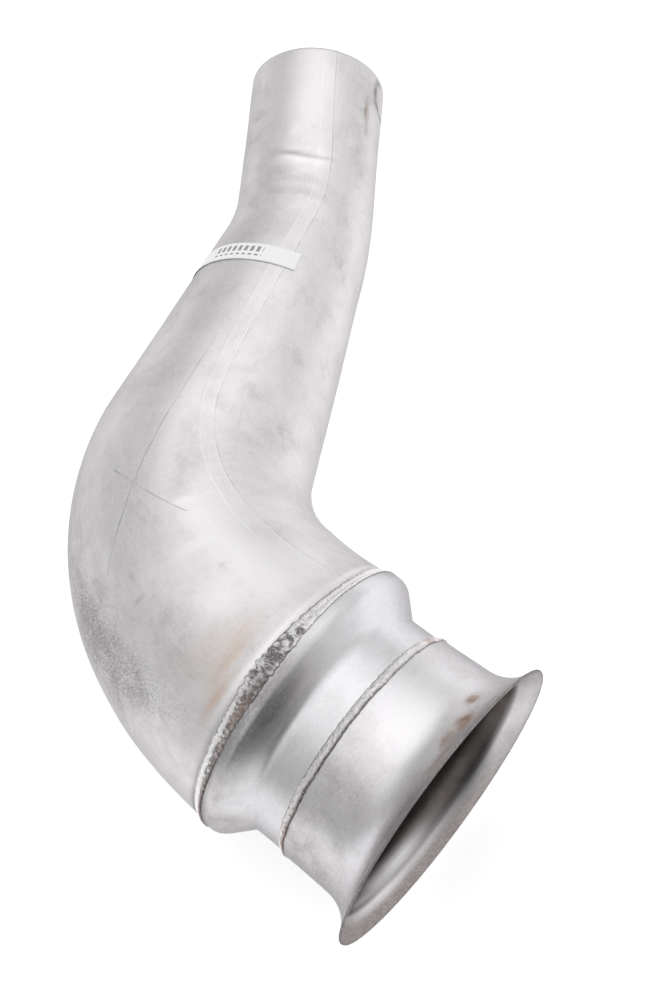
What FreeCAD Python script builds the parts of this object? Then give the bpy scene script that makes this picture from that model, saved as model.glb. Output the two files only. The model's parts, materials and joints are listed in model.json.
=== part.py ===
import FreeCAD, Part
import math
import os

# Steel exhaust pipe: a tapered elbow with a long cone and a short set-back bend, welded to a stepped
# adapter ring and a flared collar. A paper stock label is stuck on the cone.
#
# The pipe is built about the collar's axis. X points out of the flare's mouth and the bend lies in the
# XY plane, towards +Y. Stations along the collar's axis are measured inwards from the flare's face.
# The finished pipe is then laid on its flank, where it rests on three points: one on the flare, shoulder
# or weld bead, one under the elbow's belly and one on the plain end's rim. The origin is under the
# middle of its box.
# All sizes are in millimetres and degrees.

# Tube sizes
pipe_od = 101.6
pipe_wall = 1.9
elbow_od = 192.8
elbow_middle_od = 181.8
leg_start_od = 153.4
leg_end_od = 110.6

# Lengths and bends of the elbow's centre line: an easy bend, a tight one, the cone and the set-back bend
elbow_straight = 6.5
easy_bend_radius = 245.0
easy_bend_angle = 17.0
tight_bend_radius = 131.0
tight_bend_angle = 54.6
leg_length = 156.0
set_back_radius = 191.0
set_back_angle = 16.0
plain_end_length = 110.0

# Slope of the wall, in millimetres of radius per millimetre of length, at the start and middle of the elbow
elbow_taper_start = 0.04
elbow_taper_middle = 0.105

# Stepped adapter ring: neck, sharp corner, cone and rounded shoulder
ring_wall = 1.9
neck_od = 162.0
neck_length = 26.0
cone_angle = 45.0
corner_bend = 1.0
shoulder_bend = 8.0
shoulder_rim = 5.2

# Flared collar, lapped over the adapter's neck
collar_wall = 1.6
collar_length = 61.0
collar_lap = 10.0
collar_lap_bend = 60.0
throat_opening = 1.4
flare_rise = 18.0
flare_angle = 66.0
flare_lip = 1.8

# Weld beads: length along the inner tube, spill over the outer one and height over it
elbow_bead_leg = 6.0
elbow_bead_spill = 1.5
elbow_bead_height = 1.0
collar_bead_leg = 3.6
collar_bead_spill = 1.2
collar_bead_height = 0.6

# Locating dimple pressed into the plain end, at its rim
dimple_length = 26.0
dimple_depth = 2.0
dimple_from_rim = 16.0
dimple_turn = 84.0

# Paper label, wrapped part of the way round the cone on a film of glue
label_glue = 0.3
label_thickness = 0.2
label_height = 15.0
label_from_leg_end = 17.0
label_start_turn = -95.0
label_sweep = 118.0

# Sections that carry the shape of each bend, and finer ones that find where the pipe touches the floor
bend_section_count = 12
rest_section_count = 144
rest_round_count = 60

X = FreeCAD.Vector(1, 0, 0)
Y = FreeCAD.Vector(0, 1, 0)
Z = FreeCAD.Vector(0, 0, 1)

# Radii that follow from the sizes above: each tube lies in, or on, the wall of its neighbour
pipe_r = pipe_od / 2
elbow_r = elbow_od / 2
elbow_middle_r = elbow_middle_od / 2
leg_start_r = leg_start_od / 2
leg_end_r = leg_end_od / 2
shoulder_r = elbow_r + ring_wall
neck_r = neck_od / 2
collar_r = neck_r + collar_wall
throat_r = collar_r + throat_opening
flare_r = throat_r + flare_rise
leg_taper = (leg_start_r - leg_end_r) / leg_length


class Station:
    """A place on the centre line: its point, the direction onwards, and the side the pipe bends to."""

    def __init__(self, point, onward, side):
        self.point = point
        self.onward = onward
        self.side = side

    def ahead(self, length):
        """The station after a straight run."""
        return Station(self.point + self.onward * length, self.onward, self.side)

    def turned(self, radius, angle):
        """The station after a bend. A negative angle bends the other way."""
        side = self.side if angle > 0 else self.side * -1
        turn = math.radians(abs(angle))
        centre = self.point + side * radius
        onward = self.onward * math.cos(turn) + side * math.sin(turn)
        inward = side * math.cos(turn) - self.onward * math.sin(turn)
        point = centre - inward * radius
        return Station(point, onward, inward if angle > 0 else inward * -1)

    def placement(self):
        """Local Z along the pipe, local X up out of the bend's plane."""
        up = Z
        across = self.onward.cross(up)
        matrix = FreeCAD.Matrix(
            up.x, across.x, self.onward.x, self.point.x,
            up.y, across.y, self.onward.y, self.point.y,
            up.z, across.z, self.onward.z, self.point.z,
            0, 0, 0, 1)
        return FreeCAD.Placement(matrix)


def rounded(corners):
    """Edges through corners (point, bend radius), with a tangent arc of that radius at each inner one."""
    edges = []
    last = corners[0][0]
    for index in range(1, len(corners) - 1):
        corner, radius = corners[index]
        back = (corners[index - 1][0] - corner).normalize()
        ahead = (corners[index + 1][0] - corner).normalize()
        half = back.getAngle(ahead) / 2
        reach = radius / math.tan(half)
        start = corner + back * reach
        end = corner + ahead * reach
        to_centre = (back + ahead).normalize()
        middle = corner + to_centre * (radius / math.sin(half) - radius)
        edges.append(Part.LineSegment(last, start).toShape())
        edges.append(Part.Arc(start, middle, end).toShape())
        last = end
    edges.append(Part.LineSegment(last, corners[-1][0]).toShape())
    return edges


def inner_corners(corners, wall):
    """The corners of a bent sheet's inner face, one wall nearer the axis than its outer face."""
    moved = []
    for index, (corner, radius) in enumerate(corners):
        first = max(index - 1, 0)
        last = min(index + 1, len(corners) - 1)
        before = (corner - corners[first][0]) if index > first else (corners[last][0] - corner)
        after = (corners[last][0] - corner) if last > index else before
        normal_before = Z.cross(before).normalize()
        normal_after = Z.cross(after).normalize()
        mitre = (normal_before + normal_after).normalize()
        reach = wall / mitre.dot(normal_before)
        turns_in = before.cross(after).z > 0
        moved.append((corner + mitre * reach, radius - wall if turns_in else radius + wall))
    return moved


def sheet_ring(stations, wall):
    """A ring of bent sheet, turned about X from the (station, radius, bend) corners of its outer face."""
    outer = [(FreeCAD.Vector(-station, radius, 0), bend) for station, radius, bend in stations]
    inner = inner_corners(outer, wall)
    edges = rounded(outer) + rounded(inner)
    edges.append(Part.LineSegment(outer[0][0], inner[0][0]).toShape())
    edges.append(Part.LineSegment(outer[-1][0], inner[-1][0]).toShape())
    profile = Part.Face(Part.Wire(Part.__sortEdges__(edges)))
    return profile.revolve(FreeCAD.Vector(), X, 360)


class Bead:
    """A weld bead in the corner between a tube and the end of the sleeve over it."""

    def __init__(self, edge, tube_r, sleeve_r, leg, spill, height):
        self.toe = FreeCAD.Vector(-(edge + leg), tube_r, 0)
        self.lip = FreeCAD.Vector(-(edge - spill), sleeve_r, 0)
        self.rim = FreeCAD.Vector(-edge, sleeve_r, 0)
        self.root = FreeCAD.Vector(-edge, tube_r, 0)
        self.crown = FreeCAD.Vector(-edge, sleeve_r + height, 0)
        self.face = Part.Arc(self.toe, self.crown, self.lip).toShape()

    def solid(self):
        """The bead, turned about the collar's axis."""
        edges = [
            self.face,
            Part.LineSegment(self.lip, self.rim).toShape(),
            Part.LineSegment(self.rim, self.root).toShape(),
            Part.LineSegment(self.root, self.toe).toShape(),
        ]
        return Part.Face(Part.Wire(edges)).revolve(FreeCAD.Vector(), X, 360)

    def widest_hoop(self):
        """The station and radius of the bead's highest line."""
        centre = self.face.Curve.Center
        return Station(FreeCAD.Vector(centre.x, 0, 0), X * -1, Y), centre.y + self.face.Curve.Radius


def eased(share, length, start, end, start_slope, end_slope):
    """A radius that runs smoothly from start to end with the given slopes at its two ends."""
    squared = share * share
    cubed = squared * share
    return (
        (2 * cubed - 3 * squared + 1) * start
        + (cubed - 2 * squared + share) * length * start_slope
        + (3 * squared - 2 * cubed) * end
        + (cubed - squared) * length * end_slope)


def bend_hoops(start, radius, angle, from_r, to_r, from_slope, to_slope, sections):
    """Stations and radii of the sections through one bend."""
    length = radius * math.radians(abs(angle))
    hoops = [(start, from_r)]
    for index in range(1, sections + 1):
        share = index / sections
        station = start.turned(radius, angle * share)
        hoops.append((station, eased(share, length, from_r, to_r, from_slope, to_slope)))
    return hoops


def loft(hoops, inset):
    """A solid through the hoops, each made smaller by inset."""
    wires = []
    for station, radius in hoops:
        circle = Part.Circle(FreeCAD.Vector(), Z, radius - inset).toShape()
        circle.Placement = station.placement()
        wires.append(Part.Wire([circle]))
    return Part.makeLoft(wires, True, False)


# The flare is one arc from the throat to a short straight lip. Its outer rim stands a wall's slant
# behind the face, which is the inner sheet's edge.
flare_turn = math.radians(flare_angle)
flare_bend = (flare_rise - flare_lip * math.sin(flare_turn)) / (1 - math.cos(flare_turn))
flare_rim_station = collar_wall * math.sin(flare_turn)
flare_corner = flare_rim_station + flare_rise / math.tan(flare_turn)

# Stations of the adapter, measured inwards from the flare's face
neck_end = collar_length + neck_length
shoulder_corner = neck_end + (shoulder_r - neck_r) / math.tan(math.radians(cone_angle))
rim_start = shoulder_corner + shoulder_bend * math.tan(math.radians(cone_angle / 2))
elbow_edge = rim_start + shoulder_rim

# The elbow's centre line, from its seat in the adapter's rim to the plain end's rim
seat = Station(FreeCAD.Vector(-rim_start, 0, 0), X * -1, Y)
bend_start = seat.ahead(shoulder_rim + elbow_straight)
bend_middle = bend_start.turned(easy_bend_radius, easy_bend_angle)
leg_start = bend_middle.turned(tight_bend_radius, tight_bend_angle)
leg_end = leg_start.ahead(leg_length)
end_start = leg_end.turned(set_back_radius, -set_back_angle)
end_rim = end_start.ahead(plain_end_length)



def elbow_hoops(sections):
    """Stations and radii through the elbow's easy bend and then its tight one."""
    easy = bend_hoops(
        bend_start, easy_bend_radius, easy_bend_angle, elbow_r, elbow_middle_r,
        -elbow_taper_start, -elbow_taper_middle, sections)
    tight = bend_hoops(
        bend_middle, tight_bend_radius, tight_bend_angle, elbow_middle_r, leg_start_r,
        -elbow_taper_middle, -leg_taper, sections)
    return easy + tight[1:]


def formed_tube(inset):
    """The elbow's whole form as one solid, made smaller by inset all round."""
    seated = Part.makeCylinder(elbow_r - inset, shoulder_rim + elbow_straight, seat.point, seat.onward)
    leg = Part.makeCone(
        leg_start_r - inset, leg_end_r - inset, leg_length, leg_start.point, leg_start.onward)
    plain_end = Part.makeCylinder(pipe_r - inset, plain_end_length, end_start.point, end_start.onward)
    elbow = loft(elbow_hoops(bend_section_count), inset)
    set_back = loft(bend_hoops(
        leg_end, set_back_radius, -set_back_angle, leg_end_r, pipe_r, -leg_taper, 0, bend_section_count), inset)
    return seated.multiFuse([elbow, leg, set_back, plain_end.cut(dimple_tool(inset))])


def dimple_tool(inset):
    """The ball that presses the dimple. It is one wall larger for the tube's inner face."""
    ball_r = (dimple_length / 2) ** 2 / (2 * dimple_depth)
    centre = end_rim.ahead(-dimple_from_rim).placement().multVec(FreeCAD.Vector(
        (pipe_r - dimple_depth + ball_r) * math.cos(math.radians(dimple_turn)),
        (pipe_r - dimple_depth + ball_r) * math.sin(math.radians(dimple_turn)), 0))
    return Part.makeSphere(ball_r + inset, centre)


def elbow_pipe():
    """One formed tube: seat, large bend, cone, set-back bend and plain end with its dimple."""
    return formed_tube(0).cut(formed_tube(pipe_wall)).removeSplitter()


def adapter_ring():
    """The stepped ring between the collar and the elbow."""
    return sheet_ring([
        (collar_length - collar_lap, neck_r, 0),
        (neck_end, neck_r, corner_bend),
        (shoulder_corner, shoulder_r, shoulder_bend),
        (elbow_edge, shoulder_r, 0)], ring_wall)


def flared_collar():
    """The collar, opening slightly from its lap to the throat and then flared out to its rim."""
    return sheet_ring([
        (flare_rim_station, flare_r, 0),
        (flare_corner, throat_r, flare_bend),
        (collar_length - collar_lap, collar_r, collar_lap_bend),
        (collar_length, collar_r, 0)], collar_wall)


def paper_label():
    """A strip that lies on the cone, cut along two lines of its wall."""
    high = leg_length - label_from_leg_end
    low = high - label_height
    low_r = leg_start_r - leg_taper * low + label_glue
    high_r = leg_start_r - leg_taper * high + label_glue
    strip = Part.makePolygon([
        FreeCAD.Vector(low_r, 0, low), FreeCAD.Vector(low_r + label_thickness, 0, low),
        FreeCAD.Vector(high_r + label_thickness, 0, high), FreeCAD.Vector(high_r, 0, high),
        FreeCAD.Vector(low_r, 0, low)])
    label = Part.Face(strip).revolve(FreeCAD.Vector(), Z, label_sweep)
    label.rotate(FreeCAD.Vector(), Z, label_start_turn)
    label.Placement = leg_start.placement().multiply(label.Placement)
    return label


def lowest(station, radius, up):
    """The lowest point of a hoop, when up points away from the floor."""
    down = (station.onward * up.dot(station.onward) - up).normalize()
    return station.point + down * radius


def resting_turn(bead):
    """The turn that lays the pipe on its flank."""
    mouth_end = [
        (Station(FreeCAD.Vector(-flare_rim_station, 0, 0), X * -1, Y), flare_r),
        (seat, shoulder_r),
        bead.widest_hoop(),
    ]
    belly = elbow_hoops(rest_section_count)
    up = Z
    for _ in range(rest_round_count):
        feet = [
            min((lowest(station, radius, up) for station, radius in hoops), key=up.dot)
            for hoops in (mouth_end, belly, [(end_rim, pipe_r)])
        ]
        up = (feet[2] - feet[0]).cross(feet[1] - feet[0]).normalize()
        if up.z < 0:
            up = up * -1
    return FreeCAD.Rotation(up, Z)


collar_bead = Bead(collar_length, neck_r, collar_r, collar_bead_leg, collar_bead_spill, collar_bead_height)
elbow_bead = Bead(elbow_edge, elbow_r, shoulder_r, elbow_bead_leg, elbow_bead_spill, elbow_bead_height)

pieces = {
    "flared_collar": flared_collar(),
    "adapter_ring": adapter_ring(),
    "elbow_pipe": elbow_pipe(),
    "collar_weld": collar_bead.solid(),
    "elbow_weld": elbow_bead.solid(),
    "paper_label": paper_label(),
}

laid = FreeCAD.Placement(FreeCAD.Vector(), resting_turn(elbow_bead))
for piece in pieces.values():
    piece.Placement = laid.multiply(piece.Placement)

box = Part.makeCompound(list(pieces.values())).optimalBoundingBox(True, False)
to_floor = FreeCAD.Vector(-box.Center.x, -box.Center.y, -box.ZMin)

os.makedirs("parts", exist_ok=True)
for name, piece in pieces.items():
    piece.translate(to_floor)
    piece.exportStep("parts/" + name + ".step")
    print(name, len(piece.Solids), piece.isValid(), round(piece.Volume, 1))
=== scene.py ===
"""Steel exhaust pipe: a formed elbow, a stepped adapter, a flared collar, two welds and a paper label.

Every piece is built about the collar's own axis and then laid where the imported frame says. Stations run
inwards from the flare's face, and angles run round a tube from its top towards the inside of the bend.
"""

import json
import logging
import math
from dataclasses import dataclass, field
from enum import Enum

import bmesh
import bpy
from mathutils import Matrix, Vector, noise


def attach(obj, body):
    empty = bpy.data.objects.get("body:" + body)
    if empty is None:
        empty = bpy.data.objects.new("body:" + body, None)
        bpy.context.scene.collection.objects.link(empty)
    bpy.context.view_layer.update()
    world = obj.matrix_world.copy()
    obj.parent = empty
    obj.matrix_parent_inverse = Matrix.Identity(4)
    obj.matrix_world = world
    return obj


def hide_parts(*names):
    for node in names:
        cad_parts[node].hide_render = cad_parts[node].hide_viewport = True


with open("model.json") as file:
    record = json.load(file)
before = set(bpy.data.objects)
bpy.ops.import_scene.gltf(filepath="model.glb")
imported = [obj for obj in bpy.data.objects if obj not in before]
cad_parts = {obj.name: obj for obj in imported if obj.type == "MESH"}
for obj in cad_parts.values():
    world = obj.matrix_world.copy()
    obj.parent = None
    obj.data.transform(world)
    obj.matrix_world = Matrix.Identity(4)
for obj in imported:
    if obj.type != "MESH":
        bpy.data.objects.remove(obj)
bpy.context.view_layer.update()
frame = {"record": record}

MM = 0.001
FAR = 99.0
LOG = logging.getLogger("exhaust_pipe")

Pair = tuple[float, float]
Table = tuple[Pair, ...]
Triple = tuple[float, float, float]
Colour = tuple[float, float, float, float]
Socket = bpy.types.NodeSocket
Value = float | bpy.types.NodeSocket


class Mark(Enum):
    """Names of the values that a mesh carries for its finish."""

    SKIN = "skin"
    # Dirt and scale, with painted shade on some sides and a painted dark reflection on the adapter.
    DIRT_AND_SHADE = "dirt_and_shade"
    # Pits on the elbow; on the welds, painted shade in the bead's valleys.
    PITS_AND_VALLEY_SHADE = "pits"
    HEAT = "heat_tint"
    # Rubbed bright patches and spatter, and painted highlights.
    POLISH_AND_SHEEN = "polish_and_sheen"
    RUST = "rust"
    SEAM = "seam"
    # Painted shadow inside the bores, darker deeper in.
    BORE_SHADOW = "bore"
    FACE = "face"
    SHADE = "shade"
    SCRIBE = "scribe"
    SCRIBE_ON = "scribe_on"
    CROSS = "cross_scribe"
    CROSS_ON = "cross_scribe_on"


NUMBERS = tuple(mark for mark in Mark if mark is not Mark.SKIN)
Layers = dict[Mark, bmesh.types.BMLayerItem]
Verts = list[bmesh.types.BMVert]


def smooth(low: float, high: float, value: float) -> float:
    """Run smoothly from 0 to 1 as a value goes from low to high."""
    share = min(max((value - low) / (high - low), 0.0), 1.0)
    return share * share * (3 - 2 * share)


def bell(distance: float, width: float) -> float:
    """Return a soft hump, 1 at the middle and near 0 past twice the width."""
    return math.exp(-(distance / width) ** 2)


def between(table: Table, value: float) -> float:
    """Look a value up in a table of pairs, with straight runs between them.

    Args:
        table: Pairs of key and result, with rising keys.
        value: The key to look up.

    Returns:
        The result at that key, held at the table's ends.
    """
    if value <= table[0][0]:
        return table[0][1]
    for (low, first), (high, second) in zip(table, table[1:]):
        if value <= high:
            return first + (second - first) * (value - low) / (high - low)
    return table[-1][1]


@dataclass(frozen=True)
class Lay:
    """How the pipe lies: the middle of the flare's face and the collar's three directions."""

    origin: Vector
    out: Vector
    side: Vector
    up: Vector

    @classmethod
    def from_record(cls, record: dict) -> "Lay":
        """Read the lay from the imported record's two mounts.

        Args:
            record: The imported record.

        Returns:
            The lay, with up square to the plane of the bend.
        """
        mounts = {mount["name"]: mount for mount in record["mounts"]}
        out = Vector(mounts["flare"]["axis"]).normalized()
        up = out.cross(Vector(mounts["plain_end"]["axis"])).normalized()
        return cls(Vector(mounts["flare"]["pos_m"]), out, up.cross(out), up)

    def matrix(self) -> Matrix:
        """Return the matrix from the collar's own axes to the frame."""
        turned = Matrix((self.out, self.side, self.up)).transposed().to_4x4()
        return Matrix.Translation(self.origin) @ turned


@dataclass(frozen=True)
class Station:
    """A place on the centre line: its point, the way onwards and the side that the pipe bends to."""

    point: Vector
    onward: Vector
    side: Vector

    def ahead(self, length: float) -> "Station":
        """Return the station after a straight run."""
        return Station(self.point + self.onward * length, self.onward, self.side)

    def turned(self, radius: float, angle: float) -> "Station":
        """Follow a bend.

        Args:
            radius: Radius of the bend.
            angle: Turn in radians; a negative one goes to the other side.

        Returns:
            The station after the bend.
        """
        sign = 1.0 if angle > 0 else -1.0
        side = self.side * sign
        centre = self.point + side * radius
        onward = self.onward * math.cos(abs(angle)) + side * math.sin(abs(angle))
        inward = side * math.cos(abs(angle)) - self.onward * math.sin(abs(angle))
        return Station(centre - inward * radius, onward, inward * sign)

    def hoop(self, radius: float) -> Matrix:
        """Find the matrix that puts a flat unit circle here.

        Args:
            radius: The circle's radius in metres.

        Returns:
            The matrix, with X up and Y to the inside of the bend.
        """
        up = Vector((0, 0, 1))
        across = self.onward.cross(up)
        turned = Matrix((up, across, self.onward)).transposed().to_4x4()
        return Matrix.Translation(self.point) @ turned @ Matrix.Scale(radius, 4)


@dataclass(frozen=True)
class Span:
    """One run of the centre line with the tube's radius along it, in metres."""

    start: Station
    length: float
    bend: float
    angle: float
    from_radius: float
    to_radius: float
    from_slope: float
    to_slope: float

    def at(self, distance: float) -> tuple[Station, float]:
        """Find the station and the tube's radius at a distance along the span.

        Args:
            distance: Distance from the span's start.

        Returns:
            The station and the outer radius.
        """
        share = distance / self.length
        if self.bend:
            station = self.start.turned(self.bend, self.angle * share)
        else:
            station = self.start.ahead(distance)
        squared, cubed = share ** 2, share ** 3
        radius = (
            (2 * cubed - 3 * squared + 1) * self.from_radius
            + (cubed - 2 * squared + share) * self.length * self.from_slope
            + (3 * squared - 2 * cubed) * self.to_radius
            + (cubed - squared) * self.length * self.to_slope)
        return station, radius


@dataclass(frozen=True)
class Blot:
    """A soft spot on a tube: where it is, how far it runs each way in millimetres, and how strong it is."""

    path: float
    angle: float
    along: float
    around: float
    strength: float

    def at(self, path: float, angle: float, radius: float) -> float:
        """Find the spot's strength at a place on the tube.

        Args:
            path: Path along the tube in millimetres.
            angle: Angle round the tube in degrees.
            radius: The tube's radius there in millimetres.

        Returns:
            The strength, or 0 well away from the spot.
        """
        widths_away = abs(path - self.path) / self.along
        if widths_away > 3:
            return 0.0
        away = (angle - self.angle + 180) % 360 - 180
        return self.strength * bell(path - self.path, self.along) * bell(
            math.radians(away) * radius, self.around)


Blots = tuple[Blot, ...]


def blotted(blots: Blots, path: float, angle: float, radius: float) -> float:
    """Add soft spots up at a place on the tube, to 1 at most."""
    return min(sum(blot.at(path, angle, radius) for blot in blots), 1.0)


@dataclass(frozen=True)
class Fold:
    """A low ridge that curves round the tube, or a hollow where its height is below 0.

    Paths and widths are in millimetres and angles in degrees. The fold lies at path where its angle is
    middle, and it fades out between the two angles of each end.
    """

    path: float
    curve: float
    middle: float
    width: float
    height: float
    low_end: Pair
    high_end: Pair

    def at(self, path: float, angle: float) -> float:
        """Find the fold's height at a place on the tube.

        Args:
            path: Path along the tube.
            angle: Angle round the tube.

        Returns:
            The height in millimetres.
        """
        line = self.path + self.curve * (angle - self.middle) ** 2
        reach = smooth(*self.low_end, angle) * smooth(*self.high_end, angle)
        return self.height * bell(path - line, self.width) * reach


@dataclass(frozen=True)
class Scribe:
    """A thin line scratched along points of path in millimetres and angle in degrees."""

    points: Table

    def measure(self, path: float, angle: float, radius: float) -> Pair:
        """Measure from a place on the tube to the line.

        Args:
            path: Path along the tube in millimetres.
            angle: Angle round the tube in degrees.
            radius: The tube's radius there in millimetres.

        Returns:
            The signed distance in millimetres, and 1 beside the line or 0 past its ends.
        """
        place = Vector((path, math.radians(angle) * radius))
        flat = [Vector((p, math.radians(a) * radius)) for p, a in self.points]
        best, beyond = FAR, 1.0
        for index, (first, second) in enumerate(zip(flat, flat[1:])):
            run = second - first
            share = (place - first).dot(run) / run.length_squared
            held = min(max(share, 0.0), 1.0)
            gap = place - (first + run * held)
            if gap.length < abs(best):
                sign = 1.0 if run.x * gap.y - run.y * gap.x > 0 else -1.0
                best = gap.length * sign
                past = index == 0 and share < 0 or index == len(flat) - 2 and share > 1
                beyond = 0.0 if past else 1.0
        return best, beyond


def new_mesh(bm: bmesh.types.BMesh, name: str, lay: Lay, material: bpy.types.Material) -> bpy.types.Object:
    """Lay a finished bmesh in the frame and make its object.

    Args:
        bm: The shape about the collar's axis. It is freed here.
        name: Name of the piece.
        lay: How the pipe lies.
        material: The piece's finish.

    Returns:
        The object, at the origin and unturned.
    """
    bmesh.ops.transform(bm, matrix=lay.matrix(), verts=bm.verts)
    bmesh.ops.recalc_face_normals(bm, faces=bm.faces)
    for face in bm.faces:
        face.smooth = True
    mesh = bpy.data.meshes.new(name)
    bm.to_mesh(mesh)
    bm.free()
    mesh.materials.append(material)
    piece = bpy.data.objects.new(name, mesh)
    bpy.context.scene.collection.objects.link(piece)
    return piece


def edge_ring(verts: Verts) -> list[bmesh.types.BMEdge]:
    """Return the edges that join the verts of one ring."""
    held = set(verts)
    return list({edge for vert in verts for edge in vert.link_edges if edge.other_vert(vert) in held})


def mark_layers(bm: bmesh.types.BMesh, numbers: tuple[Mark, ...]) -> Layers:
    """Add a layer for the place on the skin and one for each number that a mesh carries.

    Args:
        bm: The mesh.
        numbers: The marks that are numbers.

    Returns:
        The layer of each mark.
    """
    layers = {Mark.SKIN: bm.verts.layers.float_vector.new(Mark.SKIN.value)}
    for mark in numbers:
        layers[mark] = bm.verts.layers.float.new(mark.value)
    return layers


def spin_section(bm: bmesh.types.BMesh, section: list[Vector], steps: int) -> None:
    """Turn a closed section once about the collar's axis.

    Args:
        bm: Receives the faces.
        section: Points (x, radius) in millimetres.
        steps: Number of steps round.
    """
    verts = [bm.verts.new((point.x * MM, 0, point.y * MM)) for point in section]
    edges = [bm.edges.new((vert, verts[index - 1])) for index, vert in enumerate(verts)]
    bmesh.ops.spin(
        bm, geom=verts + edges, cent=(0, 0, 0), axis=(1, 0, 0), angle=math.tau, steps=steps,
        use_merge=True, use_duplicate=False)
    bmesh.ops.remove_doubles(bm, verts=bm.verts, dist=0.01 * MM)


def place_of(vert: bmesh.types.BMVert) -> Triple:
    """Return a vert's station and radius in millimetres and its angle in degrees, about the collar's axis."""
    radius, turn = math.hypot(vert.co.y, vert.co.z), math.atan2(vert.co.y, vert.co.z)
    return -vert.co.x / MM, radius / MM, math.degrees(turn)


@dataclass
class Hoop:
    """One hoop of the tube: its path, depth in the wall and radius in millimetres, and its verts in order."""

    path: float
    inset: float
    radius: float
    matrix: Matrix
    verts: Verts


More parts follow.
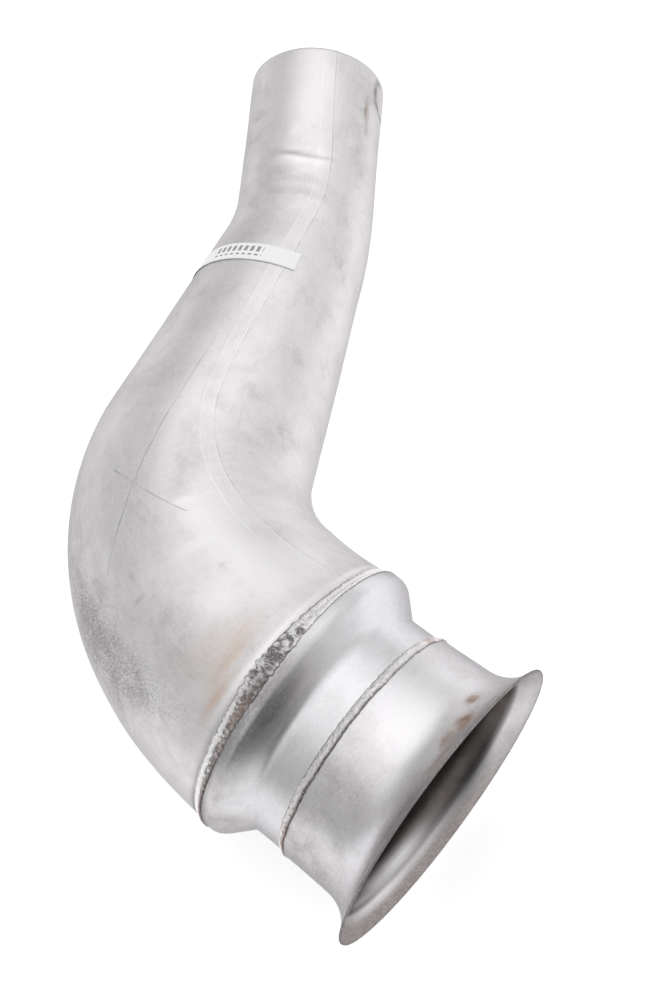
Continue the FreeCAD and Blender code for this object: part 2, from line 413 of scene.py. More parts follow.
@dataclass
class Elbow:
    """The formed tube: seat, easy bend, tight bend, cone, set-back bend and plain end.

    Sizes are in millimetres and angles in degrees. A bend is its radius and its angle.
    """

    seat_station: float = 107.2
    easy_start: float = 118.9
    seat_radius: float = 96.4
    middle_radius: float = 90.9
    cone_start_radius: float = 76.7
    cone_end_radius: float = 55.3
    pipe_radius: float = 50.8
    wall: float = 1.9
    # Painted shadow in the plain end's bore: how far in from the rim it starts to deepen, where it is
    # darkest, and its strength.
    bright_bore: float = 2.0
    dark_bore: float = 60.0
    bore_shadow_strength: float = 0.45
    easy_bend: Pair = (245.0, 17.0)
    tight_bend: Pair = (131.0, 54.6)
    cone_length: float = 156.0
    set_back: Pair = (191.0, 16.0)
    plain_length: float = 110.0
    start_slope: float = -0.04
    middle_slope: float = -0.105
    segments: int = 256
    ring_step: float = 1.95
    bore_step: float = 9.0
    broken_edge: float = 0.35
    gather: float = 2.4
    seam_line: Table = (
        (107, 37), (144, 34), (171, 32), (206, 30), (243, 25), (275, 19), (300, 14), (327, 9), (355, 7.5),
        (383, 8), (402, 9), (430, 10), (453, 12), (479, 14), (495, 17), (512, 20), (527, 21), (543, 21.5),
        (569, 20), (600, 18.5), (640, 17))
    seam_half: Table = (
        (110, 6.5), (200, 6), (265, 5), (330, 4), (430, 4.6), (500, 4.4), (640, 4.2))
    seam_reach: float = 14.0
    seam_wear: float = 0.4
    seam_wear_scale: float = 0.03
    seam_band_height: float = 0.05
    seam_band_edge: float = 1.2
    seam_ridges: tuple[tuple[int, float, float, float], ...] = (
        (-1, 0.0, 0.9, 0.1), (1, 0.0, 0.7, 0.12), (0, 0.4, 0.8, 0.06), (1, 1.3, 0.7, -0.07))
    folds: tuple[Fold, ...] = (
        Fold(535.0, 0.006, 14, 2.0, 0.85, (-36, -14), (40, 22)),
        Fold(539.8, 0.006, 14, 2.6, -0.45, (-36, -14), (40, 22)),
        Fold(516.0, -0.0025, -6, 2.6, 0.3, (-50, -25), (34, 14)),
        Fold(504.0, -0.002, 2, 2.4, 0.36, (-60, -34), (70, 34)),
        Fold(492.0, -0.002, 0, 4.0, -0.2, (-60, -20), (40, 10)))
    folds_from: float = 470.0
    folds_to: float = 585.0
    small_bump: Blot = Blot(562, -7, 3.5, 3.99, 0.25)
    broad_wave: float = 0.42
    broad_wave_scale: float = 0.014
    short_wave: float = 0.12
    short_wave_scale: float = 0.05
    wave_sink: float = 0.45
    calm_end: float = 40.0
    calm_seat: Pair = (112.0, 140.0)
    calm_share: float = 0.25
    dimple_path: float = 619.8
    dimple_angle: float = 84.0
    dimple_ball: float = 42.25
    dimple_depth: float = 2.0
    # Smudges, the dark cloud over the pitted patch, long darker bands down the outer side of the bend, and
    # painted shade down both sides of the plain end.
    dirt_and_shade: Blots = (
        Blot(342, 29, 8, 10, 0.45), Blot(326, 50, 16, 13, 0.5), Blot(382, 47, 9, 9, 0.35),
        Blot(462, 53, 24, 8, 0.45), Blot(494, 40, 14, 8, 0.3), Blot(424, 54, 18, 9, 0.3),
        Blot(410, -58, 55, 22, 0.3), Blot(166, -22, 22, 26, 0.3), Blot(240, -64, 50, 22, 0.35),
        Blot(206, -25, 7, 3, 0.5), Blot(182, 8, 6, 2.5, 0.55), Blot(560, 52, 30, 8, 0.25),
        Blot(500, -48, 22, 18, 0.25), Blot(592, -52, 50, 16, 0.5), Blot(592, 58, 50, 9, 0.35),
        Blot(180, -55, 40, 30, 0.55), Blot(196, -57, 40, 34, 0.6))
    shade: Blots = (
        Blot(621, 69, 9, 2.6, 1.0), Blot(611, 75, 2.6, 5, 1.0), Blot(608, 84, 2.0, 6, 1.0),
        Blot(631, 74, 2.0, 4, 0.8), Blot(541, -4, 1.6, 13, 0.35), Blot(120.5, -20, 1.0, 60, 0.5),
        Blot(119, -75, 1.2, 60, 0.6), Blot(197, -26, 1.2, 4, 0.35), Blot(210, -24, 1.0, 3, 0.3),
        Blot(183, 8, 1.2, 3, 0.3), Blot(119, 170, 1.6, 160, 0.5), Blot(596, 57, 8, 0.9, 0.3))
    pits: Blots = (
        Blot(232, -64, 26, 22, 0.6), Blot(202, -58, 26, 30, 0.9), Blot(168, -50, 24, 26, 0.9),
        Blot(140, -42, 18, 16, 0.5), Blot(250, -30, 30, 30, 0.25), Blot(300, -40, 40, 24, 0.2))
    heat: Blots = (
        Blot(136, -11, 3, 20, 0.85), Blot(129, -27, 3, 15, 0.9), Blot(142, -3, 2.2, 13, 0.5),
        Blot(146, -16, 12, 24, 0.32), Blot(128, 60, 5, 30, 0.15), Blot(127, 150, 7, 80, 0.5))
    # Rubbed patches and the pale spatter strip beside the weld, with painted highlights on the crease ridge
    # and down the middle of the plain end.
    polish_and_sheen: Blots = (
        Blot(204, 14, 22, 12, 0.8), Blot(180, 19, 22, 14, 0.7), Blot(154, 25, 18, 24, 0.8),
        Blot(228, 9, 10, 8, 0.6), Blot(164, -4, 16, 20, 0.5), Blot(300, -2, 60, 8, 0.4),
        Blot(588, 2, 42, 15, 0.7), Blot(600, -28, 40, 6, 0.3), Blot(534.5, -6, 3.2, 12, 1.0),
        Blot(562, -7, 5, 3, 0.9), Blot(581, -1, 5, 1.6, 0.7), Blot(537, 18, 8, 4, 0.8),
        Blot(240, 6, 3, 7, 0.8), Blot(206, 4, 4, 12, 0.6), Blot(123, -12, 2.4, 50, 0.9),
        Blot(122, 50, 2.2, 60, 0.7))
    rust: Blots = (
        Blot(597, 57, 7, 2.0, 0.5), Blot(585, 60, 8, 2.2, 0.4))
    scribes_angle: float = -12.0
    scribes_reach: float = 60.0
    scribes_from: float = 200.0
    scribes_to: float = 400.0
    scribe_fade: Pair = (366.0, 338.0)
    faint_scribe: float = 0.3
    long_scribe: Scribe = Scribe((
        (376, -3), (341, -5), (314, -6), (288, -9), (262, -15), (245, -21), (231, -28), (219, -35)))
    cross_scribe: Scribe = Scribe(((271, -27), (260, -15), (242, -1), (232, 6)))
    laid: list[Span] = field(init=False)
    end_path: float = field(init=False)

    def __post_init__(self) -> None:
        """Lay the centre line out once."""
        self.laid = self.spans()
        self.end_path = self.seat_station + sum(span.length for span in self.laid) / MM

    def spans(self) -> list[Span]:
        """Lay the centre line out, from the seat in the adapter to the plain end's rim.

        Returns:
            The spans in order, in metres and radians.
        """
        taper = -(self.cone_start_radius - self.cone_end_radius) / self.cone_length
        runs = (
            (self.easy_start - self.seat_station, 0.0, 0.0, self.seat_radius, self.seat_radius, 0.0, 0.0),
            (0.0, *self.easy_bend, self.seat_radius, self.middle_radius, self.start_slope, self.middle_slope),
            (0.0, *self.tight_bend, self.middle_radius, self.cone_start_radius, self.middle_slope, taper),
            (self.cone_length, 0.0, 0.0, self.cone_start_radius, self.cone_end_radius, taper, taper),
            (0.0, self.set_back[0], -self.set_back[1], self.cone_end_radius, self.pipe_radius, taper, 0.0),
            (self.plain_length, 0.0, 0.0, self.pipe_radius, self.pipe_radius, 0.0, 0.0))
        start = Station(Vector((-self.seat_station * MM, 0, 0)), Vector((-1, 0, 0)), Vector((0, 1, 0)))
        laid = []
        for length, bend, angle, first, last, from_slope, to_slope in runs:
            turn = math.radians(angle)
            reach = (bend * abs(turn) if bend else length) * MM
            laid.append(Span(start, reach, bend * MM, turn, first * MM, last * MM, from_slope, to_slope))
            start = laid[-1].at(reach)[0]
        return laid

    def at(self, path: float) -> tuple[Station, float]:
        """Find a place on the centre line.

        Args:
            path: Path in millimetres from the flare's face.

        Returns:
            The station and the tube's outer radius, in metres.
        """
        distance = (path - self.seat_station) * MM
        for span in self.laid[:-1]:
            if distance <= span.length:
                return span.at(max(distance, 0.0))
            distance -= span.length
        return self.laid[-1].at(min(distance, self.laid[-1].length))

    def seam_rise(self, path: float, gap: float) -> float:
        """Find the height of the flattened seam weld.

        Args:
            path: Path along the tube.
            gap: Distance from the seam's middle.

        Returns:
            The height in millimetres.
        """
        if abs(gap) > self.seam_reach:
            return 0.0
        half = between(self.seam_half, path)
        worn = 1 - self.seam_wear + self.seam_wear * noise.noise(Vector((path * self.seam_wear_scale, 2, 0)))
        inside = half - abs(gap)
        rise = self.seam_band_height * smooth(-self.seam_band_edge, self.seam_band_edge, inside)
        for side, offset, width, height in self.seam_ridges:
            rise += height * bell(gap - side * half - offset, width)
        return rise * worn

    def fold_rise(self, path: float, angle: float) -> float:
        """Find the height of the crease and the shallow wrinkles near the set-back bend.

        Args:
            path: Path along the tube.
            angle: Angle round the tube.

        Returns:
            The height in millimetres.
        """
        if not self.folds_from < path < self.folds_to:
            return 0.0
        bump = self.small_bump.at(path, angle, self.pipe_radius)
        return bump + sum(fold.at(path, angle) for fold in self.folds)

    def dimple(self, path: float, angle: float) -> float:
        """Find how far the ball that pressed the dimple sinks the wall.

        Args:
            path: Path along the tube.
            angle: Angle round the tube.

        Returns:
            The height in millimetres, 0 or less.
        """
        away = math.radians(angle - self.dimple_angle)
        reach = self.pipe_radius - self.dimple_depth + self.dimple_ball
        run = path - self.dimple_path
        chord = self.dimple_ball ** 2 - run ** 2 - (reach * math.sin(away)) ** 2
        if chord <= 0 or math.cos(away) <= 0:
            return 0.0
        pressed = reach * math.cos(away) - math.sqrt(chord)
        return min(pressed - self.pipe_radius, 0.0)

    def waves(self, path: float, angle: float, radius: float) -> float:
        """Find the slight unevenness that forming leaves, most of it below the true surface.

        Args:
            path: Path along the tube.
            angle: Angle round the tube.
            radius: The tube's radius there.

        Returns:
            The height in millimetres.
        """
        turn = math.radians(angle)
        place = Vector((path, radius * math.cos(turn), radius * math.sin(turn)))
        broad = noise.noise(place * self.broad_wave_scale)
        short = noise.noise(place * self.short_wave_scale + Vector((7, 3, 1)))
        settle = smooth(self.end_path, self.end_path - self.calm_end, path) * smooth(*self.calm_seat, path)
        height = self.broad_wave * broad + self.short_wave * short - self.wave_sink
        return height * (self.calm_share + (1 - self.calm_share) * settle)

    def relief(self, path: float, angle: float, radius: float) -> float:
        """Add up everything that raises or sinks the outer surface.

        Args:
            path: Path along the tube.
            angle: Angle round the tube.
            radius: The tube's radius there.

        Returns:
            The height in millimetres.
        """
        gap = math.radians(angle - between(self.seam_line, path)) * radius
        return (
            self.seam_rise(path, gap) + self.fold_rise(path, angle) + self.dimple(path, angle)
            + self.waves(path, angle, radius))

    def hoops(self) -> list[tuple[float, float]]:
        """List the hoops from the seat to the rim outside and back again in the bore.

        Returns:
            For each hoop its path and how far it lies inside the outer face, in millimetres.
        """
        first, last, broken = self.seat_station, self.end_path, self.broken_edge
        run = last - first - 2 * broken
        outer_count = round(run / self.ring_step)
        bore_count = round(run / self.bore_step)
        outer = [first + broken + run * step / outer_count for step in range(outer_count + 1)]
        bore = [last - broken - run * step / bore_count for step in range(bore_count + 1)]
        return [
            (first, self.wall - broken), (first, broken), *((path, 0.0) for path in outer),
            (last, broken), (last, self.wall - broken), *((path, self.wall) for path in bore)]

    def sweep(self, bm: bmesh.types.BMesh) -> list[Hoop]:
        """Extrude a circle from hoop to hoop, and join the last hoop to the first.

        Args:
            bm: Receives the faces.

        Returns:
            The hoops in order.
        """
        rings: list[Hoop] = []
        for path, inset in self.hoops():
            station, radius = self.at(path)
            matrix = station.hoop(radius - inset * MM)
            if rings:
                verts = self.grow(bm, rings[-1].verts, matrix @ rings[-1].matrix.inverted())
            else:
                verts = bmesh.ops.create_circle(
                    bm, segments=self.segments, radius=1.0, matrix=matrix)["verts"]
            rings.append(Hoop(path, inset, radius / MM - inset, matrix, self.in_order(verts, matrix)))
        first = rings[0]
        closing = self.grow(bm, rings[-1].verts, first.matrix @ rings[-1].matrix.inverted())
        bmesh.ops.weld_verts(bm, targetmap=dict(zip(self.in_order(closing, first.matrix), first.verts)))
        return rings

    def grow(self, bm: bmesh.types.BMesh, verts: Verts, matrix: Matrix) -> Verts:
        """Extrude one hoop's edges and move the new verts.

        Args:
            bm: The mesh.
            verts: The hoop's verts.
            matrix: Moves the new hoop into place.

        Returns:
            The new hoop's verts.
        """
        grown = bmesh.ops.extrude_edge_only(bm, edges=edge_ring(verts))["geom"]
        fresh = [item for item in grown if isinstance(item, bmesh.types.BMVert)]
        bmesh.ops.transform(bm, matrix=matrix, verts=fresh)
        return fresh

    def in_order(self, verts: Verts, matrix: Matrix) -> Verts:
        """Sort a hoop's verts by their angle round it.

        Args:
            verts: The verts.
            matrix: The hoop's matrix.

        Returns:
            The verts, from the hoop's own start.
        """
        home = matrix.inverted()
        half_step = math.pi / self.segments

        def angle(vert: bmesh.types.BMVert) -> float:
            """Return the vert's angle from just before the hoop's own start."""
            local = home @ vert.co
            return (math.atan2(local.y, local.x) + half_step) % math.tau

        return sorted(verts, key=angle)

    def turn_of(self, index: int, path: float) -> float:
        """Find the angle of a hoop's vert, with verts gathered near the seam.

        Args:
            index: The vert's place in the hoop.
            path: Path along the tube.

        Returns:
            The angle in degrees.
        """
        share = (index + 0.5) / self.segments * 2 - 1
        spread = math.sinh(self.gather * share) / math.sinh(self.gather)
        return between(self.seam_line, path) + 180 * spread

    def form(self, rings: list[Hoop], layers: Layers) -> None:
        """Press the relief into the hoops and write the marks for the finish.

        Args:
            rings: The hoops.
            layers: The layer of each mark.
        """
        for ring in rings:
            outer = ring.inset < self.wall / 2
            deep = smooth(self.end_path - self.bright_bore, self.end_path - self.dark_bore, ring.path)
            for index, vert in enumerate(ring.verts):
                angle = self.turn_of(index, ring.path)
                across, up = math.sin(math.radians(angle)), math.cos(math.radians(angle))
                if outer:
                    rise = self.relief(ring.path, angle, ring.radius)
                    self.mark(vert, layers, ring.path, angle, ring.radius)
                else:
                    rise = self.dimple(ring.path, angle)
                    # Painted shadow on the bore, darker deeper in from the rim.
                    vert[layers[Mark.BORE_SHADOW]] = self.bore_shadow_strength * (1 + deep)
                reach = (ring.radius + rise) / ring.radius
                vert.co = ring.matrix @ Vector((reach * up, reach * across, 0))
                vert[layers[Mark.SKIN]] = Vector((ring.path, ring.radius * up, ring.radius * across)) * MM

    def mark(
            self, vert: bmesh.types.BMVert, layers: Layers, path: float, angle: float,
            radius: float) -> None:
        """Write one outer vert's marks for the finish.

        Args:
            vert: The vert.
            layers: The layer of each mark.
            path: Path along the tube in millimetres.
            angle: Angle round the tube in degrees.
            radius: The tube's radius there in millimetres.
        """
        local = (angle + 180) % 360 - 180
        for mark, blots in (
                (Mark.DIRT_AND_SHADE, self.dirt_and_shade), (Mark.PITS_AND_VALLEY_SHADE, self.pits), (Mark.HEAT, self.heat),
                (Mark.POLISH_AND_SHEEN, self.polish_and_sheen), (Mark.RUST, self.rust), (Mark.SHADE, self.shade)):
            vert[layers[mark]] = blotted(blots, path, local, radius)
        gap = math.radians(angle - between(self.seam_line, path)) * radius
        vert[layers[Mark.SEAM]] = gap / between(self.seam_half, path)
        near = self.scribes_from < path < self.scribes_to
        near = near and abs(local - self.scribes_angle) < self.scribes_reach
        for line, gap_mark, on_mark in (
                (self.long_scribe, Mark.SCRIBE, Mark.SCRIBE_ON),
                (self.cross_scribe, Mark.CROSS, Mark.CROSS_ON)):
            gap, beside = line.measure(path, local, radius) if near else (FAR, 0.0)
            beside *= self.faint_scribe + (1 - self.faint_scribe) * smooth(*self.scribe_fade, path)
            vert[layers[gap_mark]] = gap
            vert[layers[on_mark]] = beside

    def build(self, lay: Lay, material: bpy.types.Material) -> bpy.types.Object:
        """Build the tube.

        Args:
            lay: How the pipe lies.
            material: The tube's finish.

        Returns:
            The piece.
        """
        bm = bmesh.new()
        layers = mark_layers(bm, NUMBERS)
        self.form(self.sweep(bm), layers)
        piece = new_mesh(bm, "elbow_tube", lay, material)
        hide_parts("elbow_pipe")
        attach(piece, "root")
        return piece


@dataclass(frozen=True)
class Corner:
    """A corner of a sheet's outer face: station, radius and bend radius in millimetres."""

    station: float
    radius: float
    bend: float = 0.0


@dataclass
class SheetRing:
    """A ring of bent sheet, turned about the collar's axis. Millimetres."""

    corners: tuple[Corner, ...]
    wall: float
    steps: int = 256
    spacing: float = 2.6
    rim_chamfer: float = 0.35
    rim_shares: Pair = (0.2, 0.8)

    def outer_line(self) -> list[tuple[Vector, Vector]]:
        """Walk along the sheet's outer face.

        Returns:
            Points (x, radius) with the unit normal that points out of the sheet.
        """
        points = [Vector((-corner.station, corner.radius)) for corner in self.corners]
        line: list[tuple[Vector, Vector]] = []
        last = points[0]

        def run(start: Vector, end: Vector) -> None:
            """Add the points of a straight run.

            Args:
                start: Its first point.
                end: Its last point.
            """
            along = end - start
            normal = Vector((-along.y, along.x)).normalized()
            flat = abs(normal.y) < 1e-6
            outwards = normal.y > 0 or flat and normal.x < 0
            normal = normal if outwards else -normal
            count = max(1, round(along.length / self.spacing))
            for step in range(count + 1):
                line.append((start + along * step / count, normal))

        for index in range(1, len(points) - 1):
            here = points[index]
            back = (points[index - 1] - here).normalized()
            ahead = (points[index + 1] - here).normalized()
            half = back.angle(ahead) / 2
            bend = self.corners[index].bend
            reach = bend / math.tan(half)
            centre = here + (back + ahead).normalized() * bend / math.sin(half)
            start, end = here + back * reach, here + ahead * reach
            run(last, start)
            inward = (start - centre).normalized()
            sweep = inward.angle_signed((end - centre).normalized())
            outside = 1.0 if line[-1][1].dot(inward) > 0 else -1.0
            count = max(4, round(abs(sweep) * bend / self.spacing))
            for step in range(1, count):
                turned = Matrix.Rotation(-sweep * step / count, 2) @ inward
                line.append((centre + turned * bend, turned * outside))
            last = end
        run(last, points[-1])
        return line

    def section(self) -> list[Vector]:
        """Draw the closed section of the sheet, with its edges broken.

        Returns:
            Points (x, radius) in millimetres.
        """
        line = self.outer_line()
        outer = [point for point, _ in line]
        inner = [point - normal * self.wall for point, normal in reversed(line)]
        section = []
        for side, other in ((outer, inner), (inner, outer)):
            first = (side[0] - side[1]).normalized() * self.rim_chamfer
            last = (side[-1] - side[-2]).normalized() * self.rim_chamfer
            section += [side[0] - first, *side[1:-1], side[-1] - last]
            section += [side[-1].lerp(other[0], share) for share in self.rim_shares]
        return section


@dataclass
class Ring:
    """A sheet ring with its name, the node that it stands for and its marks.

    Sizes are in millimetres. Each band holds two distances from the edge that it belongs to.
    """

    name: str
    node: str
    slot: str
    sheet: SheetRing
    unevenness: float
    face_depth: float = 0.0
    rim_shade: float = 0.0
    # Dirt and painted shade; on the adapter also a painted dark reflection.
    dirt_and_shade: Blots = ()
    rust: Blots = ()
    # Painted highlights, such as the bright band along the top of the collar.
    polish_and_sheen: Blots = ()
    shade: Blots = ()
    bore_shine: Blots = ()
    face_clean: Blots = ()
    inside_shares: Pair = (0.3, 0.7)
    radius_weight: float = 0.5
    rim_band: Pair = (-1.6, -0.2)
    bore_band: Pair = (-2.5, 1.5)
    lip_band: Pair = (0.9, 2.0)
    dull_shares: Pair = (0.4, 0.95)
    wave_along: float = 0.02
    wave_around: float = 14.0

    def mark(
            self, vert: bmesh.types.BMVert, layers: Layers, line: list[tuple[Vector, Vector]]) -> None:
        """Write one vert's marks for the finish.

        Args:
            vert: The vert.
            layers: The layer of each mark.
            line: The sheet's outer face, as points and normals.
        """
        station, radius, angle = place_of(vert)
        vert[layers[Mark.SKIN]] = Vector((station * MM, vert.co.z, vert.co.y))
        point, normal = min(
            line, key=lambda item: abs(-item[0].x - station) + abs(item[0].y - radius) * self.radius_weight)
        depth = (point - Vector((-station, radius))).dot(normal) / self.sheet.wall
        inside = smooth(*self.inside_shares, depth)
        for mark, blots in (
                (Mark.DIRT_AND_SHADE, self.dirt_and_shade), (Mark.RUST, self.rust), (Mark.POLISH_AND_SHEEN, self.polish_and_sheen),
                (Mark.SHADE, self.shade)):
            vert[layers[mark]] = blotted(blots, station, angle, radius) * (1 - inside)
        past_rim = radius - self.sheet.corners[0].radius
        vert[layers[Mark.SHADE]] += self.rim_shade * smooth(*self.rim_band, past_rim)
        # Painted shadow inside the bore, left out where the bore shine blots let a bright band show.
        bore = inside * (1 - blotted(self.bore_shine, station, angle, radius))
        if self.face_depth:
            bore *= smooth(*self.bore_band, station - self.face_depth)
            dull = 1 - smooth(*self.dull_shares, station / self.face_depth)
            dull *= 1 - blotted(self.face_clean, station, angle, radius)
            vert[layers[Mark.FACE]] = max(inside, 1 - smooth(*self.lip_band, station)) * dull
        vert[layers[Mark.BORE_SHADOW]] = bore

    def build(self, lay: Lay, material: bpy.types.Material) -> bpy.types.Object:
        """Build the ring.

        Args:
            lay: How the pipe lies.
            material: The ring's finish.

        Returns:
            The piece.
        """
        bm = bmesh.new()
        spin_section(bm, self.sheet.section(), self.sheet.steps)
        layers = mark_layers(bm, NUMBERS)
        line = self.sheet.outer_line()
        for vert in bm.verts:
            self.mark(vert, layers, line)
            station, radius, _ = place_of(vert)
            around = vert.co.yz * self.wave_around
            wave = noise.noise(Vector((station * self.wave_along, *around)))
            shift = (wave - 1) / 2 * self.unevenness
            vert.co.yz *= 1 + shift / radius
        piece = new_mesh(bm, self.name, lay, material)
        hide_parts(self.node)
        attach(piece, "root")
        return piece


@dataclass
class WeldBead:
    """A weld in the corner between a tube and the end of the sleeve over it.

    Sizes are in millimetres. A noise is how strong it is and how fast it changes.
    """

    name: str
    node: str
    edge: float
    tube_radius: float
    sleeve_radius: float
    leg: float
    spill: float
    height: float
    roughness: float
    wander: float
    dark: Blots
    brown: Blots
    calm: Blots
    # Painted shadow where the bead meets the sleeve.
    line: Blots
    swell: Blots
    swell_height: float
    swell_spread: float
    steps: int = 900
    facets: int = 14
    lumps: Table = ((0.7, 0.27), (0.5, 0.6))
    lump_share: float = 0.55
    crumbs: Pair = (0.3, 1.3)
    ripples: Pair = (0.08, 1.4)
    ripple_wander: Pair = (2.6, 0.2)
    ripple_turn: float = 0.0175
    calming: float = 0.7
    # Depth band over which the painted shade in the valleys grows.
    valley_shade: Pair = (0.35, 0.8)
    flesh_band: Pair = (-0.2, 0.4)
    root_share: float = 0.35
    wander_speed: float = 0.09
    swell_edge: Pair = (0.7, 0.45)
    toe_edge: Pair = (0.6, 0.8)
    corner_size: float = 0.01

    def section(self) -> list[Vector]:
        """Draw the bead's closed section, an arc over the corner and the corner itself.

        Returns:
            Points (x, radius).
        """
        toe = Vector((-(self.edge + self.leg), self.tube_radius))
        crown = Vector((-self.edge, self.sleeve_radius + self.height))
        lip = Vector((-(self.edge - self.spill), self.sleeve_radius))
        pull = crown * 2 - (toe + lip) / 2
        arc = []
        for step in range(self.facets + 1):
            share = step / self.facets
            arc.append(toe * (1 - share) ** 2 + pull * 2 * share * (1 - share) + lip * share ** 2)
        return [*arc, Vector((-self.edge, self.sleeve_radius)), Vector((-self.edge, self.tube_radius))]

    def sink(self, place: Vector, angle: float, rough: float) -> float:
        """Find how far the skin sinks into the bead's full outline.

        Args:
            place: The place on the bead.
            angle: Its angle in degrees.
            rough: How rough the bead is there.

        Returns:
            The depth.
        """
        lumps = sum(share * noise.noise(place * speed) for share, speed in self.lumps)
        crumbs = self.crumbs[0] * abs(noise.noise(place * self.crumbs[1]))
        along = angle * self.tube_radius * self.ripple_turn
        along += self.ripple_wander[0] * noise.noise(place * self.ripple_wander[1])
        ripple = 0.5 + 0.5 * math.sin(along * self.ripples[1])
        return rough * (0.5 - self.lump_share * lumps + crumbs + self.ripples[0] * ripple)

    def mark(self, vert: bmesh.types.BMVert, layers: Layers, depth: float) -> None:
        """Write one vert's marks for the finish.

        Args:
            vert: The vert.
            layers: The layer of each mark.
            depth: How deep the vert lies, as a share of the roughness there.
        """
        station, radius, angle = place_of(vert)
        vert[layers[Mark.SKIN]] = Vector((station * MM, vert.co.z, vert.co.y))
        # The line blots are painted shadow where the bead meets the sleeve.
        for mark, blots in ((Mark.DIRT_AND_SHADE, self.dark), (Mark.RUST, self.brown), (Mark.SHADE, self.line)):
            vert[layers[mark]] = blotted(blots, station, angle, radius)
        # Painted shade in the bead's valleys, within the dark scale.
        vert[layers[Mark.PITS_AND_VALLEY_SHADE]] = vert[layers[Mark.DIRT_AND_SHADE]] * smooth(*self.valley_shade, depth)

    def press(self, vert: bmesh.types.BMVert, rough: float, sunk: float) -> None:
        """Move one vert of the bead's skin to its place among the ripples and lumps.

        Args:
            vert: The vert.
            rough: How rough the bead is there.
            sunk: How far the skin sinks there.
        """
        station, radius, angle = place_of(vert)
        flesh = smooth(*self.flesh_band, radius - self.tube_radius)
        at_edge = abs(station - self.edge) < self.corner_size
        if flesh <= 0 or at_edge and radius < self.sleeve_radius + self.corner_size:
            return
        swell = blotted(self.swell, self.edge, angle, radius)
        sunk += (self.roughness - rough) * self.calming - swell * self.swell_height
        root = Vector((
            -(self.edge + self.leg * self.root_share), (self.tube_radius + self.sleeve_radius) / 2))
        push = (Vector((-station, radius)) - root).normalized() * -sunk * flesh
        share = (station - self.edge) / self.leg
        uneven = 1 + self.swell_edge[0] * noise.noise(Vector((angle * self.swell_edge[1], 7.0, 0)))
        ragged = self.toe_edge[0] * noise.noise(Vector((angle * self.toe_edge[1], 3.0, 0)))
        drift = self.wander * noise.noise(Vector((angle * self.wander_speed, self.edge, 0))) * flesh
        drift -= swell * self.swell_spread * share * uneven + self.roughness * share * ragged * flesh
        vert.co.x += (push.x + drift) * MM
        vert.co.yz *= 1 + push.y / radius

    def build(self, lay: Lay, material: bpy.types.Material) -> bpy.types.Object:
        """Build the bead with its ripples and lumps.

        Args:
            lay: How the pipe lies.
            material: The weld's finish.

        Returns:
            The piece.
        """
        bm = bmesh.new()
        spin_section(bm, self.section(), self.steps)
        layers = mark_layers(bm, (Mark.DIRT_AND_SHADE, Mark.RUST, Mark.SHADE, Mark.PITS_AND_VALLEY_SHADE))
        for vert in bm.verts:
            _, radius, angle = place_of(vert)
            rough = self.roughness * (1 - self.calming * blotted(self.calm, self.edge, angle, radius))
            sunk = self.sink(vert.co / MM, angle, rough)
            self.mark(vert, layers, sunk / rough)
            self.press(vert, rough, sunk)
        piece = new_mesh(bm, self.name, lay, material)
        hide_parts(self.node)
        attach(piece, "root")
        return piece


@dataclass
class Label:
    """The paper strip on the cone. Millimetres, degrees."""

    elbow: Elbow
    low_path: float = 442.0
    slant: float = 0.09
    height: float = 15.0
    start_angle: float = -95.0
    end_angle: float = 23.0
    stand_off: float = 0.32
    thickness: float = 0.16
    columns: int = 140
    rows: int = 10
    seam_lift: float = 1.4
    curl: float = 0.25
    curl_across: float = 0.03
    curl_along: float = 0.25
    buckle: float = 0.07
    buckle_around: float = 0.2
    buckle_along: float = 0.15

    def build(self, lay: Lay, material: bpy.types.Material) -> bpy.types.Object:
        """Wrap a flat grid round the cone.

        Args:
            lay: How the pipe lies.
            material: The paper's finish.

        Returns:
            The piece.
        """
        bm = bmesh.new()
        bm.loops.layers.uv.new("sheet")
        bmesh.ops.create_grid(
            bm, x_segments=self.columns, y_segments=self.rows, size=0.5, calc_uvs=True)
        for vert in bm.verts:
            across, along = vert.co.x + 0.5, vert.co.y + 0.5
            angle = self.start_angle + (self.end_angle - self.start_angle) * across
            path = self.low_path + self.slant * (angle - self.end_angle) + self.height * along
            station, radius = self.elbow.at(path)
            gap = math.radians(angle - between(self.elbow.seam_line, path)) * radius / MM
            lift = self.stand_off + self.seam_lift * self.elbow.seam_rise(path, gap)
            lift += self.curl * bell(across - 1, self.curl_across) * bell(along - 1, self.curl_along)
            spot = Vector((angle * self.buckle_around, path * self.buckle_along, 0))
            lift += self.buckle * noise.noise(spot)
            turn = math.radians(angle)
            vert.co = station.hoop(radius + lift * MM) @ Vector((math.cos(turn), math.sin(turn), 0))
        bmesh.ops.recalc_face_normals(bm, faces=bm.faces)
        bmesh.ops.solidify(bm, geom=bm.faces[:], thickness=self.thickness * MM)
        piece = new_mesh(bm, "label_strip", lay, material)
        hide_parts("paper_label")
        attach(piece, "root")
        return piece


